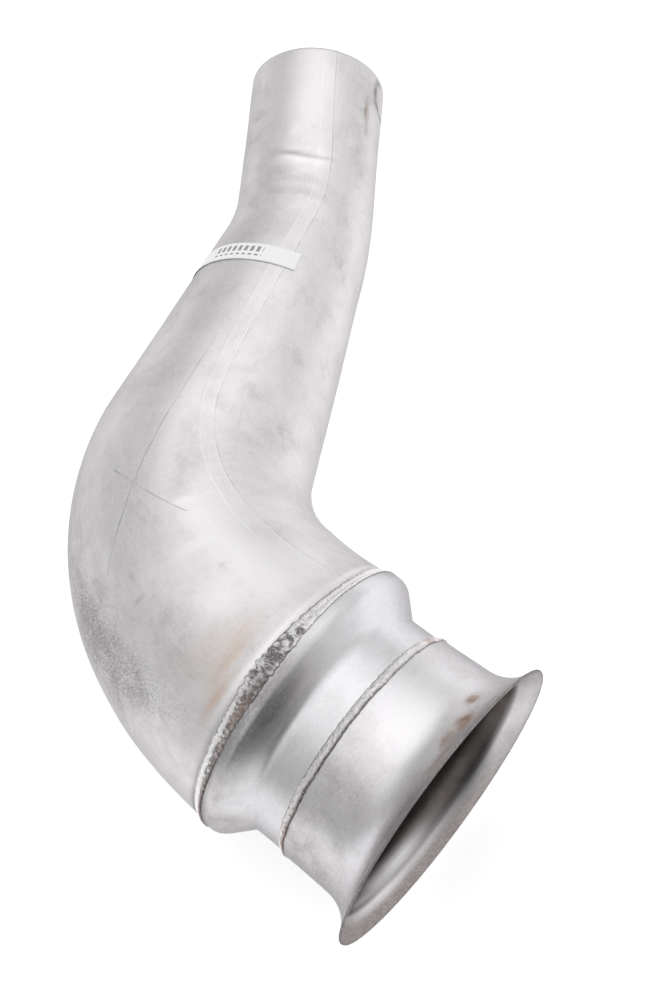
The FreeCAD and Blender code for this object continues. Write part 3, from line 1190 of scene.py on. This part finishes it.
class Desk:
    """Adds and joins nodes in one node tree."""

    def __init__(self, tree: bpy.types.NodeTree) -> None:
        """Keep the tree."""
        self.tree = tree

    def add(self, kind: str, settings: dict[str, object] | None = None, **inputs: object) -> bpy.types.Node:
        """Add a node.

        Args:
            kind: The node's type name after ShaderNode.
            settings: Properties to set on the node.
            inputs: Values or sockets for its inputs, by name with _ for a space, or n0, n1 by number.

        Returns:
            The node.
        """
        node = self.tree.nodes.new("ShaderNode" + kind)
        for name, value in (settings or {}).items():
            setattr(node, name, value)
        for name, value in inputs.items():
            key = int(name[1:]) if name[0] == "n" and name[1:].isdigit() else name.replace("_", " ")
            socket = node.inputs[key]
            if isinstance(value, bpy.types.NodeSocket):
                self.tree.links.new(value, socket)
            else:
                socket.default_value = value
        return node

    def math(self, operation: str, first: Value, second: Value = 0.0, clamp: bool = False) -> Socket:
        """Add a Math node and return its result."""
        return self.add("Math", {"operation": operation, "use_clamp": clamp}, n0=first, n1=second).outputs[0]

    def times(self, first: Value, second: Value, clamp: bool = False) -> Socket:
        """Multiply two values."""
        return self.math("MULTIPLY", first, second, clamp)

    def plus(self, first: Value, second: Value, clamp: bool = False) -> Socket:
        """Add two values."""
        return self.math("ADD", first, second, clamp)

    def less(self, first: Value, second: Value, clamp: bool = False) -> Socket:
        """Take the second value from the first."""
        return self.math("SUBTRACT", first, second, clamp)

    def larger(self, first: Value, second: Value) -> Socket:
        """Return the larger of two values."""
        return self.math("MAXIMUM", first, second)

    def gap(self, value: Value, middle: float) -> Socket:
        """Return how far a value is from a middle one."""
        return self.math("ABSOLUTE", self.less(value, middle))

    def total(self, start: Value, *parts: tuple[Value, float]) -> Socket:
        """Add weighted values to a starting one.

        Args:
            start: The value to start from.
            parts: Pairs of value and weight.

        Returns:
            The sum.
        """
        for value, weight in parts:
            start = self.plus(start, self.times(value, weight))
        return start

    def mark(self, mark: Mark) -> Socket:
        """Read one of the mesh's marks."""
        output = "Vector" if mark is Mark.SKIN else "Fac"
        return self.add("Attribute", {"attribute_name": mark.value}).outputs[output]

    def ramp(self, value: Value, low: float, high: float, first: float = 0.0, last: float = 1.0) -> Socket:
        """Run smoothly from first to last as a value goes from low to high."""
        return self.add(
            "MapRange", {"interpolation_type": "SMOOTHSTEP"}, Value=value, From_Min=low, From_Max=high,
            To_Min=first, To_Max=last).outputs[0]

    def patchy(
            self, value: Value, pattern: Socket, low: float, high: float, first: float = 0.0,
            last: float = 1.0) -> Socket:
        """Weaken a value by a ramp of a pattern."""
        return self.times(value, self.ramp(pattern, low, high, first, last))

    def mix(self, share: Value, first: Colour | Socket, second: Colour | Socket) -> Socket:
        """Mix two colours."""
        return self.add("Mix", {"data_type": "RGBA"}, n0=share, n6=first, n7=second).outputs[2]

    def coats(self, colour: Colour | Socket, *coats: tuple[Value, Colour | Socket]) -> Socket:
        """Lay colours over a first one.

        Args:
            colour: The first colour.
            coats: Pairs of share and colour, in order.

        Returns:
            The colour on top.
        """
        for share, coat in coats:
            colour = self.mix(share, colour, coat)
        return colour

    def place(self, tree: bpy.types.NodeTree, **inputs: object) -> Socket:
        """Place a group and return its output."""
        return self.add("Group", {"node_tree": tree}, **inputs).outputs[0]

    def end_group(self, value: Socket) -> bpy.types.NodeTree:
        """Send a value to the group's output and return the group."""
        self.tree.links.new(value, self.tree.nodes.new("NodeGroupOutput").inputs["Value"])
        return self.tree


def start_group(name: str, **inputs: str) -> tuple[Desk, list[Socket]]:
    """Begin a shader node group with one output, Value.

    Args:
        name: The group's name.
        inputs: Name and socket type of each input.

    Returns:
        The group's desk and its inputs in order.
    """
    tree = bpy.data.node_groups.new(name, "ShaderNodeTree")
    for label, kind in inputs.items():
        tree.interface.new_socket(label, in_out="INPUT", socket_type="NodeSocket" + kind)
    tree.interface.new_socket("Value", in_out="OUTPUT", socket_type="NodeSocketFloat")
    return Desk(tree), tree.nodes.new("NodeGroupInput").outputs[:len(inputs)]


def streak_group() -> bpy.types.NodeTree:
    """Build the streaks that drawing and brushing leave on sheet steel.

    Returns:
        A group with inputs Vector and Scale.
    """
    desk, (vector, scale) = start_group("streaks", Vector="Vector", Scale="Vector")
    scaled = desk.add("VectorMath", {"operation": "MULTIPLY"}, n0=vector, n1=scale).outputs[0]
    fine = desk.add("TexNoise", Vector=scaled, Scale=1.0, Detail=5.0, Roughness=0.62)
    return desk.end_group(fine.outputs[0])


def scratch_group() -> bpy.types.NodeTree:
    """Build short thin scratches that run along one stretch of the skin.

    Returns:
        A group with inputs Vector, Scale and Level.
    """
    desk, (vector, scale, level) = start_group("scratches", Vector="Vector", Scale="Vector", Level="Float")
    bent = desk.add("TexNoise", Vector=vector, Scale=9.0, Detail=1.0).outputs[1]
    bend = desk.add("VectorMath", {"operation": "SCALE"}, n0=bent, Scale=0.012).outputs[0]
    moved = desk.add("VectorMath", {"operation": "ADD"}, n0=vector, n1=bend).outputs[0]
    scaled = desk.add("VectorMath", {"operation": "MULTIPLY"}, n0=moved, n1=scale).outputs[0]
    lines = desk.add("TexNoise", Vector=scaled, Scale=1.0, Detail=2.0, Roughness=0.5).outputs[0]
    sharpness = 20.0
    return desk.end_group(desk.times(desk.less(lines, level), sharpness, clamp=True))


def cloud_group() -> bpy.types.NodeTree:
    """Build soft clouds of tone with a little distortion.

    Returns:
        A group with inputs Vector, Size and Seed.
    """
    desk, (vector, size, seed) = start_group("clouds", Vector="Vector", Size="Float", Seed="Float")
    cloud = desk.add(
        "TexNoise", {"noise_dimensions": "4D"}, Vector=vector, W=seed, Scale=size, Detail=6.0,
        Roughness=0.58, Distortion=0.6)
    return desk.end_group(cloud.outputs[0])


def speck_group() -> bpy.types.NodeTree:
    """Build small specks, denser where Amount is higher.

    Returns:
        A group with inputs Vector, Size and Amount.
    """
    desk, (vector, size, amount) = start_group("specks", Vector="Vector", Size="Float", Amount="Float")
    cells = desk.add("TexNoise", Vector=vector, Scale=size, Detail=3.0, Roughness=0.7).outputs[0]
    sharpness = 9.0
    level = desk.total(0.72, (amount, -0.24))
    specks = desk.times(desk.less(cells, level), sharpness, clamp=True)
    return desk.end_group(desk.patchy(specks, amount, 0.02, 0.2))


@dataclass
class Groups:
    """The shared effects, each built once."""

    streaks: bpy.types.NodeTree = field(default_factory=streak_group)
    scratches: bpy.types.NodeTree = field(default_factory=scratch_group)
    clouds: bpy.types.NodeTree = field(default_factory=cloud_group)
    specks: bpy.types.NodeTree = field(default_factory=speck_group)


def start_material(name: str) -> tuple[bpy.types.Material, Desk]:
    """Make an empty material.

    Args:
        name: The material's name.

    Returns:
        The material and the desk for its nodes.
    """
    made = bpy.data.materials.new(name)
    made.use_nodes = True
    made.node_tree.nodes.clear()
    return made, Desk(made.node_tree)


@dataclass(frozen=True)
class SteelFinish:
    """Satin steel with grain, stains, pits, heat tint and rust that follow the mesh's marks, and with painted
    shade, painted highlights and a painted shadow inside the bores.

    A seam line is its place and its width, as shares of half the seam, and its strength. A cloud is how
    fast it changes and its seed. Scratches are how fast they change each way and where they start.
    """

    name: str
    colour: Colour
    dull: Colour
    roughness: float
    grain: Triple
    grain_depth: float
    stain: float
    scratched: float
    formed: bool = False
    pale: Colour = (0.95, 0.945, 0.95, 1)
    dark: Colour = (0.2, 0.19, 0.195, 1)
    tint: Colour = (0.66, 0.49, 0.36, 1)
    rusty: Colour = (0.3, 0.2, 0.14, 1)
    # Near-black colour of the painted shadow inside the bores.
    painted_bore_shadow: Colour = (0.09, 0.08, 0.077, 1)
    face: Colour = (0.58, 0.54, 0.53, 1)
    face_dark: Colour = (0.32, 0.285, 0.275, 1)
    edge_tint: Colour = (0.38, 0.37, 0.375, 1)
    seam_lines: tuple[Triple, ...] = (
        (-1.0, 0.14, 0.6), (-0.4, 0.1, 0.3), (0.42, 0.1, 0.4), (0.92, 0.11, 0.7))
    seam_shadow: float = 1.22
    long_width: float = 0.5
    cross_width: float = 0.42
    hoop_grain: Triple = (1500.0, 14.0, 14.0)
    clouds: Table = ((17.0, 1.3), (70.0, 4.1), (520.0, 7.7), (950.0, 9.2))
    pit_size: float = 1300.0
    fleck_size: float = 1000.0
    scratches: tuple[tuple[Triple, float], ...] = (
        ((36.0, 1500.0, 1500.0), 0.66), ((1300.0, 60.0, 60.0), 0.68))
    pitting: float = 0.65
    flecking: float = 0.4
    polish_and_sheen_strength: float = 0.5
    bump: float = 0.5

    def lines(self, desk: Desk, patches: Socket) -> tuple[Socket, Socket]:
        """Draw the seam's pale lines, and the painted shadow beside the seam with the dark scribed lines.

        Args:
            desk: The material's desk.
            patches: A soft noise that breaks the lines up.

        Returns:
            The strength of the pale lines, and of the painted seam shadow with the dark scribed lines.
        """
        across = desk.mark(Mark.SEAM)
        pale = desk.times(desk.ramp(desk.gap(across, 0.0), 1.3, 0.8), 0.08)
        for middle, width, strength in self.seam_lines:
            drawn = desk.ramp(desk.gap(across, middle), width, width * 0.2)
            pale = desk.larger(pale, desk.times(drawn, strength))
        pale = desk.patchy(pale, patches, 0.36, 0.6, 0.35)
        # Painted shadow: a thin dark line just past the seam's edge.
        shadow = desk.ramp(desk.gap(across, self.seam_shadow), 0.16, 0.03)
        dark = desk.patchy(shadow, patches, 0.4, 0.6, 0.03, 0.2)
        for gap_mark, on_mark, width in (
                (Mark.SCRIBE, Mark.SCRIBE_ON, self.long_width),
                (Mark.CROSS, Mark.CROSS_ON, self.cross_width)):
            hair = desk.ramp(desk.gap(desk.mark(gap_mark), 0.0), width, width * 0.25)
            hair = desk.patchy(desk.times(hair, desk.mark(on_mark)), patches, 0.4, 0.6, 0.6, 0.18)
            dark = desk.larger(dark, hair)
        return pale, dark

    def material(self, groups: Groups) -> bpy.types.Material:
        """Build the material.

        Args:
            groups: The shared effects.

        Returns:
            The material.
        """
        made, desk = start_material(self.name)
        skin, dirt_and_shade, polish_and_sheen, heat, rust, bore, face, pitted, shade = (
            desk.mark(mark) for mark in (
                Mark.SKIN, Mark.DIRT_AND_SHADE, Mark.POLISH_AND_SHEEN, Mark.HEAT, Mark.RUST, Mark.BORE_SHADOW, Mark.FACE, Mark.PITS_AND_VALLEY_SHADE,
                Mark.SHADE))
        streaks, hoops = (
            desk.place(groups.streaks, Vector=skin, Scale=scale)
            for scale in (self.grain, self.hoop_grain))
        broad, small, fine, grit = (
            desk.place(groups.clouds, Vector=skin, Size=size, Seed=seed)
            for size, seed in self.clouds)
        pits, flecks = (
            desk.place(groups.specks, Vector=skin, Size=size, Amount=amount)
            for size, amount in ((self.pit_size, pitted), (self.fleck_size, desk.total(0.08, (dirt_and_shade, 0.45)))))
        along, around = (
            desk.place(groups.scratches, Vector=skin, Scale=scale, Level=level)
            for scale, level in self.scratches)

        tone = desk.total(
            0.0, (desk.ramp(broad, 0.36, 0.68), self.stain), (desk.ramp(small, 0.45, 0.7), self.stain * 0.5))
        # Dirt and painted shade dull the steel.
        smudge_and_shade = desk.patchy(dirt_and_shade, small, 0.36, 0.62, 0.45)
        dulled = desk.plus(tone, desk.times(smudge_and_shade, 0.75), clamp=True)
        # Polish and painted highlights lighten the steel and take its dullness away.
        polish_and_sheen_share = desk.times(polish_and_sheen, self.polish_and_sheen_strength)
        dulled = desk.less(dulled, polish_and_sheen_share, clamp=True)
        line = desk.ramp(streaks, 0.35, 0.66)
        grain = desk.times(desk.plus(line, desk.ramp(fine, 0.4, 0.62)), 0.16)
        worn = desk.larger(along, desk.times(around, 0.7))
        rusted = desk.patchy(rust, small, 0.34, 0.56, 0.35)
        pale, scribes_and_seam_shadow = self.lines(desk, small) if self.formed else (0.0, 0.0)
        mottled = desk.coats(
            self.face, (desk.ramp(grit, 0.3, 0.62), self.face_dark),
            (desk.ramp(small, 0.46, 0.7, 0.0, 0.6), self.face_dark))
        # The painted bore shadow, a little lighter in patches.
        bore_shadow_tone = desk.mix(desk.ramp(small, 0.4, 0.7, 0.0, 0.14), self.painted_bore_shadow, self.face_dark)
        colour = desk.coats(
            self.colour,
            (dulled, self.dull),
            (grain, self.pale),
            (polish_and_sheen_share, self.pale),
            (desk.times(worn, self.scratched), self.pale),
            (desk.patchy(heat, hoops, 0.42, 0.6, 0.2, 0.9), self.tint),
            (desk.patchy(heat, hoops, 0.5, 0.4, 0.0, 0.24), self.dark),
            (desk.patchy(desk.times(pitted, 0.75), grit, 0.5, 0.66), self.pale),
            (desk.times(pits, self.pitting), self.dark),
            (desk.times(flecks, self.flecking), self.dark),
            (pale, self.pale),
            # The painted seam shadow and the scribed lines darken the steel.
            (scribes_and_seam_shadow, self.dark),
            (face, mottled),
            (desk.patchy(shade, fine, 0.36, 0.6, 0.55), self.dark),
            (rusted, self.rusty),
            (bore, bore_shadow_tone))

        rough = desk.total(
            self.roughness, (dulled, 0.14), (line, 0.05), (face, 0.18), (bore, -0.04), (rusted, 0.3))
        height = desk.total(
            desk.times(streaks, self.grain_depth), (desk.times(hoops, heat), 0.08), (pits, -0.1),
            (scribes_and_seam_shadow, -0.12), (pale, 0.1), (desk.times(fine, face), 0.15))
        bump = desk.add("Bump", Height=height, Distance=MM, Strength=self.bump)
        steel = desk.add(
            "BsdfPrincipled", Base_Color=colour, Metallic=desk.total(1.0, (rusted, -0.7)), Roughness=rough,
            Specular_Tint=self.edge_tint, Normal=bump.outputs[0])
        desk.add("OutputMaterial", Surface=steel.outputs[0])
        return made


@dataclass(frozen=True)
class WeldFinish:
    """Bright weld metal with dark scale, painted shade in its valleys and where it meets the sleeve, and
    brown stretches.
    """

    name: str
    crest: Colour
    scale: Colour
    brown: Colour
    clouds: Table = ((150.0, 2.2), (520.0, 5.7))
    scale_edge: float = 6.0
    bump_height: float = 1.2
    bump: float = 0.9

    def material(self, groups: Groups) -> bpy.types.Material:
        """Build the material.

        Args:
            groups: The shared effects.

        Returns:
            The material.
        """
        made, desk = start_material(self.name)
        skin, dirt_and_shade, rust, edge, valley_shade = (
            desk.mark(mark) for mark in (Mark.SKIN, Mark.DIRT_AND_SHADE, Mark.RUST, Mark.SHADE, Mark.PITS_AND_VALLEY_SHADE))
        patches, crumbs = (
            desk.place(groups.clouds, Vector=skin, Size=size, Seed=seed)
            for size, seed in self.clouds)
        mixed = desk.total(0.0, (crumbs, 0.65), (patches, 0.35))
        level = desk.total(0.68, (dirt_and_shade, -0.22))
        scaly = desk.times(desk.less(mixed, level), self.scale_edge, clamp=True)
        # Painted shade darkens the valleys between the lumps.
        hollow = desk.patchy(desk.ramp(valley_shade, 0.1, 0.7), crumbs, 0.3, 0.56, 0.35, 0.95)
        # The shade mark read here paints the shadow where the bead meets the sleeve.
        dark = desk.larger(desk.larger(scaly, hollow), desk.patchy(edge, crumbs, 0.3, 0.52, 0.45))
        stained = desk.patchy(desk.times(rust, 0.85), patches, 0.36, 0.56)
        colour = desk.coats(self.crest, (dark, self.scale), (stained, self.brown))
        rough = desk.total(desk.ramp(crumbs, 0.3, 0.7, 0.26, 0.42), (stained, 0.2))
        metal = desk.total(1.0, (desk.larger(dark, stained), -0.4))
        bump = desk.add("Bump", Height=crumbs, Distance=self.bump_height * MM, Strength=self.bump)
        weld = desk.add(
            "BsdfPrincipled", Base_Color=colour, Metallic=metal, Roughness=rough, Normal=bump.outputs[0])
        desk.add("OutputMaterial", Surface=weld.outputs[0])
        return made


@dataclass(frozen=True)
class PaperFinish:
    """White label paper with a row of plain dark bars and a thinner row under it."""

    name: str
    paper: Colour
    ink: Colour
    worn: Colour = (0.6, 0.6, 0.61, 1)
    bar_count: float = 26.0
    bar_gap: float = 0.45
    bars_from: float = 0.46
    bars_to: float = 0.79
    inking: float = 0.75
    wear: float = 0.14
    fibre: Pair = (30.0, 3.0)
    fibre_height: float = 0.05
    roughness: float = 0.7
    bump: float = 0.3
    rows: Table = ((0.5, 0.82), (0.26, 0.36))

    def material(self, groups: Groups) -> bpy.types.Material:
        """Build the material.

        Args:
            groups: The shared effects.

        Returns:
            The material.
        """
        made, desk = start_material(self.name)
        sheet = desk.add("UVMap", {"uv_map": "sheet"}).outputs[0]
        across, along = desk.add("SeparateXYZ", Vector=sheet).outputs[:2]

        def within(value: Socket, low: float, high: float) -> Socket:
            """Return 1 where a value is between two others."""
            return desk.times(desk.math("GREATER_THAN", value, low), desk.math("LESS_THAN", value, high))

        beat = desk.math("FRACT", desk.times(across, self.bar_count))
        inked = desk.math("GREATER_THAN", beat, self.bar_gap)
        rows = desk.total(0.0, *((within(along, low, high), 1.0) for low, high in self.rows))
        printed = desk.times(rows, desk.times(inked, within(across, self.bars_from, self.bars_to)))
        fibres = desk.place(groups.clouds, Vector=sheet, Size=self.fibre[0], Seed=self.fibre[1])
        shade = desk.times(desk.ramp(fibres, 0.4, 0.7), self.wear)
        colour = desk.coats(self.paper, (desk.times(printed, self.inking), self.ink), (shade, self.worn))
        bump = desk.add("Bump", Height=fibres, Distance=self.fibre_height * MM, Strength=self.bump)
        paper = desk.add(
            "BsdfPrincipled", Base_Color=colour, Roughness=self.roughness, Normal=bump.outputs[0])
        desk.add("OutputMaterial", Surface=paper.outputs[0])
        return made


@dataclass
class Studio:
    """The pale floor, the soft light and the camera at the photograph's angle. Metres.

    A dim side of the room is the way to it, how far it spreads and how dark it is.
    """

    camera_at: Triple = (0.259275, -0.240339, 0.990723)
    looking: Triple = (-0.233447, 0.215689, -0.948146)
    picture_up: Triple = (-0.57805, 0.753298, 0.313689)
    lens: float = 50.968
    sensor: float = 36.0
    far_end: float = 30.0
    exposure: float = 0.08
    floor_half: float = 6.0
    floor_colour: Colour = (0.9, 0.9, 0.905, 1)
    floor_roughness: float = 0.8
    floor_shine: float = 0.2
    floor_glow: float = 0.4
    sky_colour: Colour = (1.0, 0.99, 0.995, 1)
    sky_low: float = 0.62
    sky_high: float = 1.05
    sky_top: float = 0.95
    side_core: float = 0.98
    dim_sides: tuple[tuple[Triple, float, float], ...] = (
        ((0.9, -0.4, 0.2), 0.68, 0.92), ((-0.3, -0.85, 0.4), 0.7, 0.4), ((-0.95, 0.2, 0.1), 0.6, 0.35))
    lamp_at: Triple = (-0.6, 0.9, 1.9)
    lamp_size: float = 2.2
    lamp_power: float = 3.0

    def floor(self) -> None:
        """Lay the floor under the pipe."""
        bm = bmesh.new()
        bmesh.ops.create_grid(bm, x_segments=1, y_segments=1, size=self.floor_half)
        mesh = bpy.data.meshes.new("studio_floor")
        bm.to_mesh(mesh)
        bm.free()
        made, desk = start_material("pale_floor")
        surface = desk.add(
            "BsdfPrincipled", Base_Color=self.floor_colour, Roughness=self.floor_roughness,
            Specular_IOR_Level=self.floor_shine, Emission_Color=(1, 1, 1, 1),
            Emission_Strength=self.floor_glow)
        desk.add("OutputMaterial", Surface=surface.outputs[0])
        mesh.materials.append(made)
        floor = bpy.data.objects.new("studio_floor", mesh)
        bpy.context.scene.collection.objects.link(floor)

    def lamp(self) -> None:
        """Hang a square soft light that faces the pipe."""
        light = bpy.data.lights.new("key_softbox", "AREA")
        light.size = self.lamp_size
        light.energy = self.lamp_power
        lamp = bpy.data.objects.new("key_softbox", light)
        lamp.location = self.lamp_at
        lamp.rotation_euler = (-Vector(self.lamp_at)).to_track_quat("-Z", "Y").to_euler()
        bpy.context.scene.collection.objects.link(lamp)

    def sky(self) -> None:
        """Fill the room with soft light, dimmer near the horizon and towards its dark sides."""
        world = bpy.data.worlds.new("soft_room")
        bpy.context.scene.world = world
        world.use_nodes = True
        world.node_tree.nodes.clear()
        desk = Desk(world.node_tree)
        way = desk.add("TexCoord").outputs["Generated"]
        height = desk.add("SeparateXYZ", Vector=way).outputs[2]
        strength = desk.ramp(height, 0.0, self.sky_top, self.sky_low, self.sky_high)
        for towards, spread, depth in self.dim_sides:
            near = desk.add(
                "VectorMath", {"operation": "DOT_PRODUCT"}, n0=way,
                n1=Vector(towards).normalized()).outputs["Value"]
            strength = desk.patchy(strength, near, spread, self.side_core, 1.0, 1.0 - depth)
        light = desk.add("Background", Color=self.sky_colour, Strength=strength)
        desk.add("OutputWorld", Surface=light.outputs[0])

    def camera(self) -> None:
        """Put the camera where the photograph was taken from."""
        data = bpy.data.cameras.new("camera")
        data.lens = self.lens
        data.sensor_width = self.sensor
        data.clip_end = self.far_end
        camera = bpy.data.objects.new("camera", data)
        back = -Vector(self.looking).normalized()
        right = Vector(self.picture_up).cross(back).normalized()
        turned = Matrix((right, back.cross(right), back)).transposed().to_4x4()
        camera.matrix_world = Matrix.Translation(self.camera_at) @ turned
        bpy.context.scene.collection.objects.link(camera)
        bpy.context.scene.camera = camera

    def build(self) -> None:
        """Set the whole studio up."""
        self.floor()
        self.sky()
        self.lamp()
        self.camera()
        view = bpy.context.scene.view_settings
        view.view_transform = "Standard"
        view.exposure = self.exposure


PIPE_STEEL = SteelFinish(
    "formed_pipe_steel", (0.79, 0.775, 0.78, 1), (0.48, 0.462, 0.464, 1), roughness=0.45,
    grain=(28.0, 900.0, 900.0), grain_depth=0.05, stain=0.36, scratched=0.3, formed=True)
ADAPTER_STEEL = SteelFinish(
    "adapter_steel", (0.74, 0.735, 0.75, 1), (0.4, 0.39, 0.39, 1), roughness=0.32,
    grain=(900.0, 60.0, 60.0), grain_depth=0.02, stain=0.22, scratched=0.12)
COLLAR_STEEL = SteelFinish(
    "collar_steel", (0.73, 0.72, 0.735, 1), (0.4, 0.385, 0.385, 1), roughness=0.33,
    grain=(1100.0, 60.0, 60.0), grain_depth=0.02, stain=0.3, scratched=0.15)
WELD_METAL = WeldFinish("weld_scale", (0.9, 0.89, 0.9, 1), (0.12, 0.112, 0.112, 1), (0.34, 0.22, 0.17, 1))
PAPER = PaperFinish("label_paper", (0.95, 0.95, 0.955, 1), (0.1, 0.1, 0.11, 1))

ADAPTER = Ring(
    "adapter_step", "adapter_ring", "adapter_steel",
    SheetRing((Corner(51, 81), Corner(87, 81, 9.0), Corner(104.3, 98.3, 8.0), Corner(112.4, 98.3)), 1.9),
    unevenness=0.35,
    # Painted dark reflection: the dark blob on the cone under the weld, with painted shade lower round the
    # side.
    dirt_and_shade=(Blot(101, -16, 9, 34, 0.9), Blot(104, -60, 9, 40, 0.5), Blot(96, 175, 14, 90, 0.4)),
    shade=(
        Blot(98, -16, 4, 24, 0.75), Blot(101, -38, 5, 20, 0.6), Blot(107, -4, 5, 24, 0.5),
        Blot(109, -30, 4, 34, 0.5), Blot(105, -18, 4, 20, 0.35), Blot(111, -62, 1.6, 50, 0.7),
        Blot(60, 170, 2, 130, 0.6), Blot(111, 175, 2.6, 150, 0.5)),
    rust=(Blot(98, -80, 9, 9, 0.3), Blot(106, -70, 6, 30, 0.15)))
COLLAR = Ring(
    "collar_flare", "flared_collar", "collar_steel",
    SheetRing((Corner(1.46, 102), Corner(9.48, 84, 27.6), Corner(51, 82.6, 60.0), Corner(61, 82.6)), 1.6),
    unevenness=0.3, face_depth=11.0, rim_shade=0.75,
    # Painted highlight: the bright band along the top of the collar.
    polish_and_sheen=(Blot(36, 8, 16, 26, 0.55), Blot(34, 30, 16, 18, 0.6)),
    # Painted shade on the collar's lower left, at negative angles, and darker near the flare's rim.
    dirt_and_shade=(
        Blot(43, -28, 14, 14, 0.6), Blot(30, -45, 18, 16, 0.5), Blot(6, 12, 4, 40, 0.6),
        Blot(30, -74, 26, 24, 0.7), Blot(52, -60, 10, 30, 0.5), Blot(5, -40, 3, 60, 0.4),
        Blot(30, 170, 26, 100, 0.4)),
    rust=(
        Blot(15.5, 35, 2.6, 5, 1.4), Blot(9, 21, 3.6, 9, 1.5), Blot(10.5, 10, 2.6, 7, 0.8),
        Blot(5, 3, 2.5, 14, 0.7), Blot(20, 30, 5, 10, 0.15), Blot(4, 40, 2, 30, 0.4)),
    shade=(Blot(59.6, 2, 0.9, 46, 0.5), Blot(59.6, -62, 1.0, 46, 0.6)),
    bore_shine=(Blot(15.5, -154, 4.6, 28, 1.0), Blot(14, -118, 1.6, 24, 0.4)),
    face_clean=(Blot(4, 98, 8, 78, 1.0), Blot(9, -140, 2.4, 80, 0.5)))
ELBOW_WELD = WeldBead(
    "elbow_bead", "elbow_weld", edge=112.4, tube_radius=96.4, sleeve_radius=98.3, leg=6.0, spill=1.5,
    height=1.0, roughness=1.9, wander=0.5, swell_height=1.7, swell_spread=3.2,
    # Dark scale, with painted shade over the bead's side towards the adapter.
    dark=(
        Blot(112.8, -10, 3.2, 38, 1.2), Blot(117, -2, 5, 30, 0.5), Blot(112.6, -46, 3, 26, 0.8),
        Blot(115, 180, 14, 160, 0.8)),
    brown=(Blot(112.0, -26, 2.6, 26, 0.5), Blot(112.0, -80, 2.0, 60, 0.6), Blot(114, 175, 10, 150, 0.6)),
    calm=(Blot(112.4, 56, 14, 46, 1.0), Blot(112.4, -76, 14, 46, 0.6)),
    # Painted shadow where the bead meets the adapter.
    line=(Blot(112.2, -16, 2.8, 32, 0.9), Blot(111.4, -66, 1.9, 60, 1.0), Blot(111.4, 175, 1.5, 120, 0.8)),
    swell=(Blot(112.4, -9, 14, 46, 1.0), Blot(112.4, -50, 14, 26, 0.3)))
COLLAR_WELD = WeldBead(
    "collar_bead", "collar_weld", edge=61.0, tube_radius=81.0, sleeve_radius=82.6, leg=3.6, spill=1.2,
    height=0.6, roughness=0.9, wander=1.0, swell_height=1.0, swell_spread=1.0,
    dark=(Blot(60.6, -60, 2, 40, 0.6), Blot(62, 180, 8, 140, 0.6)),
    brown=(Blot(62, 58, 5, 20, 0.7), Blot(61, -74, 2.5, 36, 0.7), Blot(62, 175, 8, 130, 0.5)),
    calm=(Blot(61, 24, 8, 34, 0.2),),
    # Painted shadow where the bead meets the collar.
    line=(Blot(60.0, 0, 0.9, 60, 0.85), Blot(60.0, -56, 1.0, 50, 0.95), Blot(60, 175, 0.9, 120, 0.7)),
    swell=(Blot(61, 30, 8, 70, 0.8), Blot(61, -40, 8, 50, 0.6)))


def main() -> None:
    """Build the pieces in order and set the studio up."""
    logging.basicConfig(level=logging.INFO, format="%(message)s")
    lay = Lay.from_record(frame["record"])
    groups = Groups()
    elbow = Elbow()
    weld_metal = WELD_METAL.material(groups)
    for part, material in (
            (elbow, PIPE_STEEL.material(groups)),
            (ADAPTER, ADAPTER_STEEL.material(groups)),
            (COLLAR, COLLAR_STEEL.material(groups)),
            (ELBOW_WELD, weld_metal),
            (COLLAR_WELD, weld_metal),
            (Label(elbow), PAPER.material(groups))):
        piece = part.build(lay, material)
        LOG.info("%s: %d faces", piece.name, len(piece.data.polygons))
    Studio().build()


if __name__ == "__main__":
    main()
